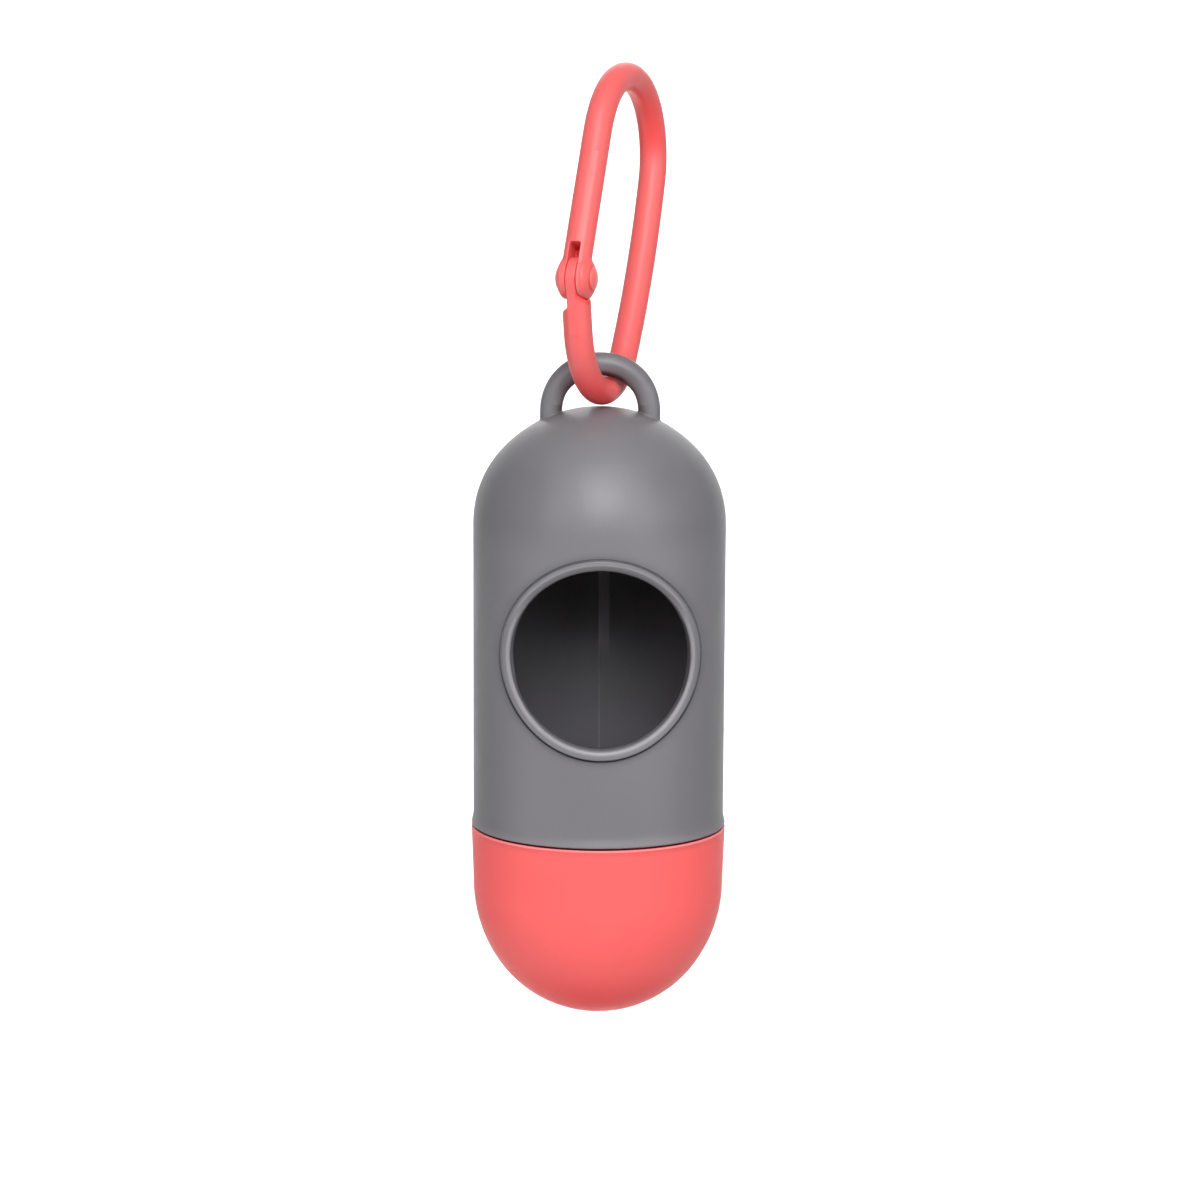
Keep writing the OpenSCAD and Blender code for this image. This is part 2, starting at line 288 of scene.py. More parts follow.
def zone(nt, col, tc, origin, axes, conds, tint):
    """Multiplies the colour by a tint where every condition (axis, from, to) has run from 0 to 1; the tints are
    painted light and shade.
    """
    co = place(nt, tc, origin, axes)
    fac = None
    for k, a, b in conds:
        mr = nt.nodes.new("ShaderNodeMapRange")
        mr.interpolation_type = "SMOOTHSTEP"
        src = co[k]
        if a > b:                     # falls with the coordinate
            mr.inputs["From Min"].default_value = b
            mr.inputs["From Max"].default_value = a
            mr.inputs["To Min"].default_value = 1.0
            mr.inputs["To Max"].default_value = 0.0
        else:
            mr.inputs["From Min"].default_value = a
            mr.inputs["From Max"].default_value = b
        nt.links.new(src, mr.inputs["Value"])
        if fac is None:
            fac = mr.outputs[0]
        else:
            mu = nt.nodes.new("ShaderNodeMath"); mu.operation = "MULTIPLY"
            nt.links.new(fac, mu.inputs[0])
            nt.links.new(mr.outputs[0], mu.inputs[1])
            fac = mu.outputs[0]
    mx = nt.nodes.new("ShaderNodeMix"); mx.data_type = "RGBA"; mx.blend_type = "MULTIPLY"
    nt.links.new(fac, mx.inputs["Factor"])
    nt.links.new(col, mx.inputs[6])
    mx.inputs[7].default_value = (*tint, 1)
    return mx.outputs[2]


def plastic(name, dark, light, rough, bump=0.02, grain=9000.0, spec=0.5, zones=()):
    m = bpy.data.materials.new(name)
    m.use_nodes = True
    nt = m.node_tree
    nt.nodes.clear()
    out = nt.nodes.new("ShaderNodeOutputMaterial")
    bs = nt.nodes.new("ShaderNodeBsdfPrincipled")
    nt.links.new(bs.outputs[0], out.inputs[0])
    tc = nt.nodes.new("ShaderNodeTexCoord")
    # slow drift of tone, as in a moulding
    n1 = nt.nodes.new("ShaderNodeTexNoise")
    n1.inputs["Scale"].default_value = 60.0
    n1.inputs["Detail"].default_value = 3.0
    n1.inputs["Roughness"].default_value = 0.55
    nt.links.new(tc.outputs["Object"], n1.inputs["Vector"])
    # fine speckle of pigment
    n2 = nt.nodes.new("ShaderNodeTexNoise")
    n2.inputs["Scale"].default_value = 2600.0
    n2.inputs["Detail"].default_value = 2.0
    nt.links.new(tc.outputs["Object"], n2.inputs["Vector"])
    mx = nt.nodes.new("ShaderNodeMath"); mx.operation = "MULTIPLY_ADD"
    nt.links.new(n2.outputs["Fac"], mx.inputs[0])
    mx.inputs[1].default_value = 0.35
    nt.links.new(n1.outputs["Fac"], mx.inputs[2])
    ramp = nt.nodes.new("ShaderNodeValToRGB")
    ramp.color_ramp.elements[0].position = 0.35
    ramp.color_ramp.elements[0].color = (*dark, 1)
    ramp.color_ramp.elements[1].position = 1.0
    ramp.color_ramp.elements[1].color = (*light, 1)
    nt.links.new(mx.outputs[0], ramp.inputs[0])
    col = ramp.outputs[0]
    for z_ in zones:
        col = zone(nt, col, tc, *z_)
    nt.links.new(col, bs.inputs["Base Color"])
    # roughness drifts a little
    n3 = nt.nodes.new("ShaderNodeTexNoise")
    n3.inputs["Scale"].default_value = 220.0
    n3.inputs["Detail"].default_value = 4.0
    nt.links.new(tc.outputs["Object"], n3.inputs["Vector"])
    mr = nt.nodes.new("ShaderNodeMapRange")
    mr.inputs["From Min"].default_value = 0.3
    mr.inputs["From Max"].default_value = 0.7
    mr.inputs["To Min"].default_value = rough - 0.04
    mr.inputs["To Max"].default_value = rough + 0.04
    nt.links.new(n3.outputs["Fac"], mr.inputs["Value"])
    nt.links.new(mr.outputs[0], bs.inputs["Roughness"])
    # spark-eroded mould texture
    n4 = nt.nodes.new("ShaderNodeTexNoise")
    n4.inputs["Scale"].default_value = grain
    n4.inputs["Detail"].default_value = 2.0
    n4.inputs["Roughness"].default_value = 0.6
    nt.links.new(tc.outputs["Object"], n4.inputs["Vector"])
    bp = nt.nodes.new("ShaderNodeBump")
    bp.inputs["Strength"].default_value = bump
    bp.inputs["Distance"].default_value = 0.0001
    nt.links.new(n4.outputs["Fac"], bp.inputs["Height"])
    nt.links.new(bp.outputs[0], bs.inputs["Normal"])
    bs.inputs["Specular IOR Level"].default_value = spec
    bs.inputs["IOR"].default_value = 1.49
    return m


GREY_D, GREY_L = (0.173, 0.168, 0.181), (0.191, 0.186, 0.200)
CLIP_D, CLIP_L = (0.812, 0.125, 0.122), (0.850, 0.137, 0.133)
UP = (0.0, 0.0, 1.0)
UPR = {"r": ("off", UP), "z": ("along", UP), "x": ("along", (1.0, 0.0, 0.0)), "y": ("along", (0.0, 1.0, 0.0))}
WIN_DIR = (math.sin(WIN_TURN), -math.cos(WIN_TURN), 0.0)
WINR = {"p": ("off", WIN_DIR), "f": ("along", WIN_DIR), "r": ("off", UP), "z": ("along", UP), "x": ("along", (1.0, 0.0, 0.0))}
_o = clip_to_cap(np.array([PIVOT[0], PIVOT[1], 0.0]))
_d = {k: clip_to_cap(np.array([PIVOT[0] + d[0], PIVOT[1] + d[1], float(d[2])])) - _o
      for k, d in (("x", (1, 0, 0)), ("y", (0, 1, 0)), ("n", (0, 0, 1)))}
CLIP_AX = {k: ("along", tuple(v)) for k, v in _d.items()}
CLIP_AX["p"] = ("off", tuple(_d["n"]))
IN_WALL = (("r", 18.95, 18.6), ("z", 47.5, 46.5))
BACK = (("y", 14.0, 15.0), ("x", -0.16, 0.02), ("x", 1.78, 1.5))
shell_painted_light = (
    ((0, 0, 0), UPR, IN_WALL, (0.72, 0.765, 0.79)),                                            # painted shade inside the barrel, with a cool cast
    ((0, 0, 0), UPR, IN_WALL + (("z", 24.0, 44.0),), (0.66, 0.67, 0.68)),                      # painted shade, deeper towards its top
    ((0, 0, 0), UPR, IN_WALL + BACK + (("z", 23.0, 31.0),), (2.5, 2.5, 2.5)),                  # painted highlight on the rib, paler at the top
    ((0, 0, 0), UPR, IN_WALL + (("y", 14.0, 15.0), ("x", -0.2, -0.02), ("x", 0.26, 0.1)), (1.5, 1.5, 1.5)),  # painted highlight along the rib's crisp left edge
    ((0, 0, 0), UPR, (("r", 19.6, 19.9), ("z", 1.5, 0.2)), (1.20, 1.14, 1.14)),                # painted highlight on the edge at the mouth
    ((0, 0, 0), UPR, (("z", 69.0, 71.0), ("x", 1.0, 3.5)), (0.87, 0.87, 0.87)),                 # painted shade on the ring's top, right of the clip
    ((0, 0, RING_Z), {"p": ("off", (0.0, 1.0, 0.0)), "z": ("along", UP)}, (("z", 1.1, 1.8), ("p", 6.5, 6.1)), (0.62, 0.62, 0.62)),   # painted shade along the ring's inner edge
    ((0, 0, RING_Z), {"p": ("off", (0.0, 1.0, 0.0)), "z": ("along", UP), "x": ("along", (1.0, 0.0, 0.0))}, (("z", 4.5, 5.3), ("p", 6.9, 6.3), ("x", 5.2, 3.2), ("x", -3.0, -1.5)), (0.35, 0.33, 0.34)),   # painted shade where it bears on the clip
    ((0, 0, 0), UPR, (("z", 44.0, 50.0), ("z", 62.0, 56.0), ("y", -19.5, -16.8), ("y", -6.0, -9.0), ("x", -6.5, -9.5)), (0.89, 0.89, 0.89)),   # painted shade on the dome's flanks
    ((0, 0, 0), UPR, (("z", 44.0, 50.0), ("z", 62.0, 56.0), ("y", -19.5, -16.8), ("y", -6.0, -9.0), ("x", 6.5, 9.5)), (0.89, 0.89, 0.89)),
    ((0, 0, 0), UPR, (("z", 62.0, 64.0), ("z", 67.2, 66.7), ("r", 9.0, 7.0), ("y", -2.5, 2.3)), (0.55, 0.52, 0.54)),   # painted shade on the crown below the ring
    ((0, 0, 0), UPR, (("z", 62.0, 63.5), ("z", 67.2, 66.7), ("x", -2.5, -4.2), ("x", -8.0, -6.6), ("y", -4.5, -0.5)), (0.62, 0.62, 0.62)),   # painted shade beside the ring's feet
    ((0, 0, 0), UPR, (("z", 62.0, 63.5), ("z", 67.2, 66.7), ("x", 2.5, 4.2), ("x", 8.0, 6.6), ("y", -4.5, -0.5)), (0.62, 0.62, 0.62)),
    ((0, 0, WIN_Z), WINR, (("f", 2.0, 6.0), ("x", 12.6, 13.0), ("p", 14.0, 13.86), ("r", 20.0, 19.9)), (0.58, 0.58, 0.58)),   # painted shade on the hole's right wall
    ((0, 0, WIN_Z), WINR, (("r", 20.1, 20.4), ("p", 14.0, 14.38), ("p", 14.82, 14.44), ("z", 9.0, 3.0)), (1.65, 1.65, 1.65)),   # painted highlight on the crest of the rim
    ((0, 0, WIN_Z), WINR, (("r", 20.1, 20.4), ("p", 14.60, 14.84), ("p", 15.15, 14.95), ("z", 4.0, 10.0)), (1.35, 1.35, 1.35)),   # painted highlight, further out at its top
    # painted shade inside the crest at its top
    ((0, 0, WIN_Z), WINR, (("r", 20.1, 20.4), ("p", 14.75, 14.55), ("z", 5.0, 11.0)), (0.72, 0.72, 0.72)),
    ((0, 0, WIN_Z), WINR, (("f", 2.0, 6.0), ("r", 19.85, 19.95), ("p", 15.36, 15.46), ("p", 15.76, 15.60)), (0.58, 0.58, 0.58)),  # painted shade in the crease at the rim's foot
    ((0, 0, WIN_Z), WINR, (("f", 2.0, 6.0), ("r", 19.85, 19.95), ("p", 15.30, 15.40), ("p", 15.88, 15.68), ("z", 5.0, -11.0)), (0.24, 0.24, 0.24)),  # painted shade, deeper below
    # painted shade fading out beyond the rim's foot
    ((0, 0, WIN_Z), WINR, (("f", 2.0, 6.0), ("r", 19.85, 19.95), ("p", 15.40, 15.50), ("p", 17.0, 15.5)), (0.84, 0.84, 0.84)))
cap_painted_light = (
    ((0, 0, 0), UPR, (("r", 19.98, 20.06), ("z", -0.68, -0.46)), (1.0, 1.75, 1.85)),           # painted highlight on the edge of the lip
    ((0, 0, 0), UPR, (("r", 19.95, 19.8), ("z", -1.2, -1.0)), (0.42, 0.25, 0.25)),             # painted shade in the groove behind the lip
    ((0, 0, 0), UPR, (("z", -19.5, -30.4),), (0.91, 0.30, 0.30)))                              # painted shade, darker towards the round bottom
gate_painted_light = (
    (_o, CLIP_AX, (("x", -2.7, -0.4), ("n", -0.86, -0.74), ("n", 0.86, 0.74), ("y", 3.0, 3.5), ("y", 5.1, 4.7)), (0.86, 0.30, 0.36)),   # painted shade at the bottom of the pocket
    (_o, CLIP_AX, (("n", 2.2, 2.4), ("p", 1.72, 1.80), ("p", 2.30, 2.00), ("y", -0.5, -1.3)), (0.96, 0.55, 0.55)),    # shade below the pin's head
    (_o, CLIP_AX, (("n", 0.9, 1.0), ("n", 1.5, 1.3), ("p", 2.9, 3.1)), (1.0, 1.35, 1.35)))         # painted highlight on the edge of the right ear
mat_shell = plastic("shell_grey_plastic", GREY_D, GREY_L, 0.43, bump=0.22, grain=3600, zones=shell_painted_light)
mat_cap = plastic("cap_coral_plastic", (0.955, 0.136, 0.133), (0.985, 0.149, 0.145), 0.46, bump=0.18, grain=3800, spec=0.16, zones=cap_painted_light)
_c = clip_to_cap(np.array([CROWN_C[0], CROWN_C[1], 0.0]))
clip_painted_light = (
    ((0, 0, 0), UPR, (("z", 74.0, 67.2),), (1.15, 0.58, 0.62)),                                    # painted shade on the bend
    (_c, {"p": ("off", tuple(_d["n"])), "y": ("along", tuple(_d["y"]))}, (("p", 11.9, 10.4), ("y", 3.0, 7.5)), (1.0, 0.58, 0.58)),                 # painted shade on the underside of the crown
    ((0, 0, RING_Z), {"p": ("off", (0.0, 1.0, 0.0)), "z": ("along", UP), "y": ("along", (0.0, 1.0, 0.0))}, (("z", 3.0, 4.5), ("p", 4.6, 5.6), ("p", 8.6, 7.0), ("y", -2.2, -1.0), ("y", 4.0, 2.5)), (0.78, 0.34, 0.37)),   # painted shadow where the ring hangs on it
    (_o, CLIP_AX, (("n", 0.55, 0.85), ("p", 3.0, 3.2), ("p", 4.3, 3.4), ("y", 0.2, -1.2)), (0.98, 0.42, 0.46)),   # shade below the right ear
    (_o, CLIP_AX, (("n", 0.66, 0.78), ("p", 3.25, 3.1)), (0.85, 0.50, 0.52)),                      # painted shade along the tongue's edges
    (_o, CLIP_AX, (("n", -0.66, -0.78), ("p", 3.25, 3.1)), (0.85, 0.50, 0.52)))
mat_clip = plastic("clip_coral_plastic", CLIP_D, CLIP_L, 0.44, bump=0.14, grain=4500, spec=0.5, zones=clip_painted_light)
mat_gate = plastic("gate_coral_plastic", CLIP_D, CLIP_L, 0.44, bump=0.14, grain=4500, spec=0.5, zones=gate_painted_light)
# the pin's coral paint, made paler than the clip's as a painted highlight on its head
mat_pin = plastic("pin_coral_paint_and_painted_highlight", (0.90, 0.165, 0.157), (0.94, 0.18, 0.171), 0.32, bump=0.05, grain=6000, spec=0.5)


def steel(name):
    m = bpy.data.materials.new(name)
    m.use_nodes = True
    nt = m.node_tree
    bs = nt.nodes["Principled BSDF"]
    tc = nt.nodes.new("ShaderNodeTexCoord")
    mp = nt.nodes.new("ShaderNodeMapping")
    mp.inputs["Scale"].default_value = (400, 400, 6000)
    nz = nt.nodes.new("ShaderNodeTexNoise")
    nz.inputs["Scale"].default_value = 1.0
    nz.inputs["Detail"].default_value = 5.0
    nt.links.new(tc.outputs["Object"], mp.inputs["Vector"])
    nt.links.new(mp.outputs[0], nz.inputs["Vector"])
    cr = nt.nodes.new("ShaderNodeValToRGB")
    cr.color_ramp.elements[0].color = (0.50, 0.50, 0.52, 1)
    cr.color_ramp.elements[1].color = (0.66, 0.66, 0.68, 1)
    nt.links.new(nz.outputs["Fac"], cr.inputs[0])
    nt.links.new(cr.outputs[0], bs.inputs["Base Color"])
    mr = nt.nodes.new("ShaderNodeMapRange")
    mr.inputs["To Min"].default_value = 0.24
    mr.inputs["To Max"].default_value = 0.42
    nt.links.new(nz.outputs["Fac"], mr.inputs["Value"])
    nt.links.new(mr.outputs[0], bs.inputs["Roughness"])
    bs.inputs["Metallic"].default_value = 1.0
    return m


mat_spring = steel("spring_drawn_steel")


# ---------------------------------------------------------------- shell
def shell_mesh():
    """Barrel, dome, window and rim as one closed skin."""
    B = Build()
    SEG = 180
    BORDER = 16.4                          # where the patch takes over from the rim
    PHI_STEPS = 32                         # steps of 2 degrees each side of the front
    Z0, Z1 = WIN_Z - 18.0, WIN_Z + 18.0    # patch that holds the window
    MZ = 48
    zrows = np.linspace(Z0, Z1, MZ + 1)

    def skin(r, below, above, rho_in, inward):
        """One skin: revolved below and above the patch, revolved behind it, and the patch with its hole."""
        g = lathe(list(below) + [(r, Z0)], SEG)
        B.grid(g, close_u=True, flip=inward)
        g = lathe([(r, Z1)] + list(above), SEG)
        B.grid(g, close_u=True, flip=inward)
        g = lathe([(r, z) for z in zrows], SEG)
        back = g[PHI_STEPS:SEG - PHI_STEPS + 1]
        B.grid(back, flip=inward)
        # patch: ring of points on its border, matched to the rows and columns round it
        pm = PHI_STEPS * 2.0
        border = []
        for k in range(-PHI_STEPS, PHI_STEPS):
            border.append((k * 2.0, Z1))
        for k in range(MZ):
            border.append((pm, zrows[MZ - k]))
        for k in range(PHI_STEPS, -PHI_STEPS, -1):
            border.append((k * 2.0, Z0))
        for k in range(MZ):
            border.append((-pm, zrows[k]))
        border = np.array(border)
        phi, zz = np.radians(border[:, 0]), border[:, 1]
        ang = np.arctan2(R * phi * 0.83, zz - WIN_Z)      # 0 at the top, turning to +X
        ci_x, ci_z = rho_in * np.sin(ang), WIN_Z + rho_in * np.cos(ang)
        ci_phi = np.arcsin(ci_x / r)
        T = 9
        rows = []
        for t in np.linspace(0, 1, T + 1):
            s = t
            p_, z_ = phi * (1 - s) + ci_phi * s, zz * (1 - s) + ci_z * s
            rows.append(np.stack([r * np.sin(p_), -r * np.cos(p_), z_], -1))
        G = np.stack(rows, 1)               # (around, inwards, 3)
        B.grid(G, close_u=True, flip=not inward)
        return ang

    dome = lambda t: (arc(SX, BARREL_H, SH_R - t, 0, math.degrees(DOME_A), 28)
                      + arc(0, DOME_CZ, CROWN_R - t, math.degrees(DOME_A), 90, 30)[1:])
    # outside, from the mouth up
    mouth = [(R - 1.1, 0.22), (R - 1.08, 0.12), (R - 1.0, 0.03), (R - 0.9, 0.0), (R - 0.4, 0.0), (R, 0.0)]
    mouth += arc(R + 0.28 - 0.22, 0.22, 0.22, -90, 0, 7)[1:]
    mouth += [(R + 0.27, 0.34), (R + 0.22, 0.6), (R + 0.15, 0.9), (R + 0.08, 1.2), (R + 0.03, 1.5), (R, 1.9), (R, 2.6), (R, 6.0)]
    ang = skin(R, mouth, [(R, BARREL_H - 0.4)] + dome(0), BORDER, False)
    # inside
    inner_mouth = [(R - 1.1, 0.22), (R - 1.1, 1.0), (R - 1.1, PLUG_H + 0.2), (R - 1.12, PLUG_H + 0.36),
                   (R - 1.2, PLUG_H + 0.4), (RI + 0.1, PLUG_H + 0.4), (RI + 0.02, PLUG_H + 0.44), (RI, PLUG_H + 0.55)]
    skin(RI, inner_mouth, [(RI, BARREL_H - 0.4)] + dome(WALL), WIN_R + 0.2, True)
    # rim: from the barrel, up a steep flank, over a face that dips towards the hole, and round into it
    foot, lip_h = 15.47, RIM_OUT
    rim = [(BORDER, 0.0), (foot + 0.45, 0.0), (foot + 0.24, 0.0), (foot + 0.17, -0.01), (foot + 0.13, -0.04),
           (foot + 0.09, -0.11), (foot + 0.01, -0.11), (foot - 0.005, -0.03), (foot - 0.012, 0.15), (foot - 0.03, lip_h - 0.30)]
    for a in np.radians(np.linspace(8, 90, 9)):
        rim.append((foot - 0.32 + 0.29 * math.cos(a), lip_h - 0.29 + 0.29 * math.sin(a)))
    face_in = WIN_R + 0.74
    dip = 0.13 * (foot - 0.32 - face_in)
    for t in (0.2, 0.5, 0.8):
        rim.append((foot - 0.32 + (face_in - foot + 0.32) * t, lip_h - dip * t))
    for a in np.radians(np.linspace(90, 180, 14)):
        rim.append((face_in + 0.74 * math.cos(a), lip_h - dip - 0.58 + 0.58 * math.sin(a)))
    rim = np.array(rim)
    rings = []
    for rho, h in rim:
        x, z = rho * np.sin(ang), WIN_Z + rho * np.cos(ang)
        rings.append(np.stack([x, -np.sqrt((R + h) ** 2 - x * x), z], -1))
    x, z = WIN_R * np.sin(ang), WIN_Z + WIN_R * np.cos(ang)
    y0, y1 = -np.sqrt(R * R - x * x), -np.sqrt(RI * RI - x * x)
    # the hole's side walls draw in a little towards the back, less so low down
    low = np.clip((-np.cos(ang) - 0.15) / 0.45, 0, 1)
    low = low * low * (3 - 2 * low)
    draw = 0.44 * (1 - low * np.where(np.sin(ang) > 0, 0.6, 0.95)) * np.sin(ang)
    for t in (0.12, 0.3, 0.5, 0.7, 0.85):
        rings.append(np.stack([x - draw * t, y0 + (y1 - y0) * t, z], -1))
    for rho, t, k in ((WIN_R + 0.02, 0.93, 0.85), (WIN_R + 0.08, 0.98, 0.6)):
        x, z = rho * np.sin(ang) - draw * k, WIN_Z + rho * np.cos(ang)
        y0, y1 = -np.sqrt(R * R - x * x), -np.sqrt(RI * RI - x * x)
        rings.append(np.stack([x, y0 + (y1 - y0) * t, z], -1))
    x, z = (WIN_R + 0.2) * np.sin(ang), WIN_Z + (WIN_R + 0.2) * np.cos(ang)
    rings.append(np.stack([x, -np.sqrt(RI * RI - x * x), z], -1))
    B.grid(np.stack(rings, 1), close_u=True, flip=True)
    V, F = B.weld()
    c_, s_ = math.cos(WIN_TURN), math.sin(WIN_TURN)
    V = np.stack([V[:, 0] * c_ - V[:, 1] * s_, V[:, 0] * s_ + V[:, 1] * c_, V[:, 2]], -1)
    return V, F


V, F = shell_mesh()
shell = make_object("shell_body", V, F)


def tube(path, rad, seg=40, cap_ends=True):
    """Round tube along a path of points in the XZ plane (y = 0)."""
    path = np.array(path, float)
    tang = np.gradient(path, axis=0)
    tang /= np.linalg.norm(tang, axis=1)[:, None]
    Y = np.array([0, 1.0, 0])
    side = np.cross(tang, Y)
    t = np.linspace(0, 2 * math.pi, seg, endpoint=False)
    G = path[None] + rad * (np.cos(t)[:, None, None] * side[None] + np.sin(t)[:, None, None] * Y[None, None])
    return G


def ring_mesh():
    B = Build()
    zb = BARREL_H + DOME_H - 2.6
    path = [(-RING_R, 0, z) for z in np.linspace(zb, RING_Z, 10)[:-1]]
    # the arc is a touch squarer than a circle
    for t in np.radians(np.linspace(180, 0, 97)):
        c_, s_ = math.cos(t), math.sin(t)
        path.append((RING_R * math.copysign(abs(c_) ** 0.945, c_), 0, RING_Z + RING_R * max(s_, 0.0) ** 0.945))
    path += [(RING_R, 0, z) for z in np.linspace(RING_Z, zb, 10)[1:]]
    G = tube(path, RING_W, 48)
    # worn to a flatter, fuller underside where it hangs on the clip
    for k, q in enumerate(path):
        q = np.array(q)
        inw = np.array([0.0, 0.0, RING_Z]) - q
        w_ = min(1.0, max(0.0, (-inw[2] / RING_R - 0.45) / 0.4))
        inw = inw / max(np.linalg.norm(inw), 1e-6)
        comp = np.maximum((G[:, k] - q) @ inw, 0.0)
        G[:, k] += comp[:, None] * inw[None] * 0.10 * w_ * w_ * (3 - 2 * w_)
    B.grid(G, close_u=True, flip=False)
    for k in (0, -1):
        end = np.stack([G[:, k], np.repeat(np.array(path[k])[None], len(G), 0)], 1)
        B.grid(end, close_u=True, flip=(k == 0))
    # fillet skirts at the feet
    w, hgt = 0.38, 0.36
    th = np.linspace(0, 2 * math.pi, 64, endpoint=False)

    def dome_z(r):
        return np.where(r < CROWN_R * math.cos(DOME_A), DOME_CZ + np.sqrt(np.maximum(CROWN_R ** 2 - r * r, 0)),
                        BARREL_H + np.sqrt(np.maximum(SH_R ** 2 - (r - SX) ** 2, 0)))
    for s in (-1, 1):
        rows = []
        for k, u in enumerate(np.linspace(0, 1, 12)):
            d = RING_W - 0.015 + w * u
            x, y = s * RING_R + d * np.cos(th), d * np.sin(th)
            off = hgt * (1 - math.sqrt(max(0.0, 1 - (1 - u) ** 2)))
            z = dome_z(np.hypot(x, y)) + off - 0.012
            rows.append(np.stack([x, y, z], -1))
        x, y = s * RING_R + (RING_W + w) * np.cos(th), (RING_W + w) * np.sin(th)
        rows.append(np.stack([x, y, dome_z(np.hypot(x, y)) - 0.5], -1))
        x, y = s * RING_R + (RING_W - 0.4) * np.cos(th), (RING_W - 0.4) * np.sin(th)
        rows.append(np.stack([x, y, dome_z(np.hypot(x, y)) - 0.5], -1))
        rows.append(rows[0] * 1.0)
        B.grid(np.stack(rows, 1), close_u=True, flip=False)
    return B.weld()


V, F = ring_mesh()
ring = make_object("shell_ring", V, F)


def rib_mesh():
    """Low rib down the inside of the back wall."""
    B = Build()
    xc, hw, pr = 0.8, 0.95, 0.14
    zs = np.concatenate([[PLUG_H + 2.2, PLUG_H + 2.25, PLUG_H + 2.5], np.linspace(PLUG_H + 3, BARREL_H - 3, 24),
                         [BARREL_H - 2.4, BARREL_H - 2.1]])
    # low swelling, crisper along its left edge
    sec = [(-hw - 0.12, -0.3), (-hw - 0.1, -0.012)]
    for t in np.linspace(0, 1, 15):
        left = min(1.0, t / 0.22)
        right = min(1.0, (1 - t) / 0.6)
        sec.append((-hw + 2 * hw * t, pr * (0.5 - 0.5 * math.cos(math.pi * left)) * (0.5 - 0.5 * math.cos(math.pi * right))))
    sec += [(hw + 0.1, -0.012), (hw + 0.12, -0.3)]
    rows = []
    for k, z in enumerate(zs):
        e = 0.0 if 1 < k < len(zs) - 2 else (1.0 if k in (0, len(zs) - 1) else 0.35)
        row = []
        for dx, h in sec:
            x = xc + dx
            hh = h if h <= 0 else h * (1 - e)
            row.append((x, math.sqrt(RI * RI - x * x) - hh, z))
        rows.append(row)
    G = np.array(rows)
    B.grid(G, flip=True)
    # close the back and the ends inside the wall
    back = np.stack([G[:, -1], G[:, 0]], 1)
    B.grid(back, flip=True)
    for k, fl in ((0, False), (-1, True)):
        base = np.repeat(((G[k, 0] + G[k, -1]) / 2)[None], G.shape[1], 0)
        B.grid(np.stack([G[k], base], 0), flip=fl)
    return B.weld()


V, F = rib_mesh()
rib = make_object("shell_rib", V, F)


# ---------------------------------------------------------------- cap
def cap_mesh():
    B = Build()
    lip = R + 0.32
    top = -0.3
    plug_r = R - 1.1 - 0.15
    plug_in = plug_r - 1.2
    prof = [(0.0, CAP_BOT)]
    prof += arc(0, CAP_CZ, CAP_ER, -89, math.degrees(CAP_A), 34)
    prof += arc(CX, CAP_Z1, CAP_SR, math.degrees(CAP_A), 0, 24)[1:]
    for t in np.linspace(0, 1, 10)[1:]:
        prof.append((CAP_R1 + (lip - 0.02 - CAP_R1) * t, CAP_Z1 + (top - 0.30 - CAP_Z1) * t))
    prof += arc(lip - 0.28, top - 0.28, 0.28, 0, 90, 10)
    prof += [(lip - 0.34, top - 0.01), (lip - 0.42, top - 0.08), (lip - 0.56, top - 0.45), (lip - 0.66, top - 0.6), (plug_r + 0.2, top - 0.62)]
    prof += [(plug_r + 0.06, top - 0.58), (plug_r, top - 0.48), (plug_r, 1.0), (plug_r, 2.9)]
    prof += [(plug_r + 0.04, 3.35), (plug_r + 0.08, 3.6), (plug_r + 0.08, 3.8), (plug_r + 0.04, 4.05), (plug_r, 4.4)]
    prof += [(plug_r, PLUG_H - 0.3), (plug_r - 0.06, PLUG_H - 0.14), (plug_r - 0.2, PLUG_H - 0.02), (plug_r - 0.34, PLUG_H)]
    prof += [(plug_in + 0.2, PLUG_H), (plug_in + 0.06, PLUG_H - 0.06), (plug_in, PLUG_H - 0.2), (plug_in, 3.0), (plug_in, -2.0), (plug_in, CAP_Z1)]
    prof += arc(CX, CAP_Z1, CAP_SR - 2.4, 0, math.degrees(CAP_A), 20)[1:]
    prof += arc(0, CAP_CZ, CAP_ER - 2.4, math.degrees(CAP_A), -89, 30)[1:]
    prof += [(0.0, CAP_CZ - CAP_ER + 2.4)]
    B.grid(lathe(prof, 180), close_u=True, flip=False)
    return B.weld()


V, F = cap_mesh()
cap = make_object("cap_body", V, F)


# ---------------------------------------------------------------- clip
def clip_line(P):
    d = arc2(P, (0, 0), BEND_R, NECK_A - 360, SP0)
    d = np.minimum(d, arc2(P, SPINE_C, SPINE_R, SP0, SP1))
    d = np.minimum(d, arc2(P, CROWN_C, CROWN2_R, SP1, 90))
    d = np.minimum(d, arc2(P, NOSE_C, NOSE_R, 90, 180))
    return d


def scarf_plane(P):
    """Signed distance above the scarf joint, along its normal."""
    x, y = P[..., 0] - GATE_X, P[..., 1] - GATE_TOP
    return -x * math.sin(SCARF) + y * math.cos(SCARF)


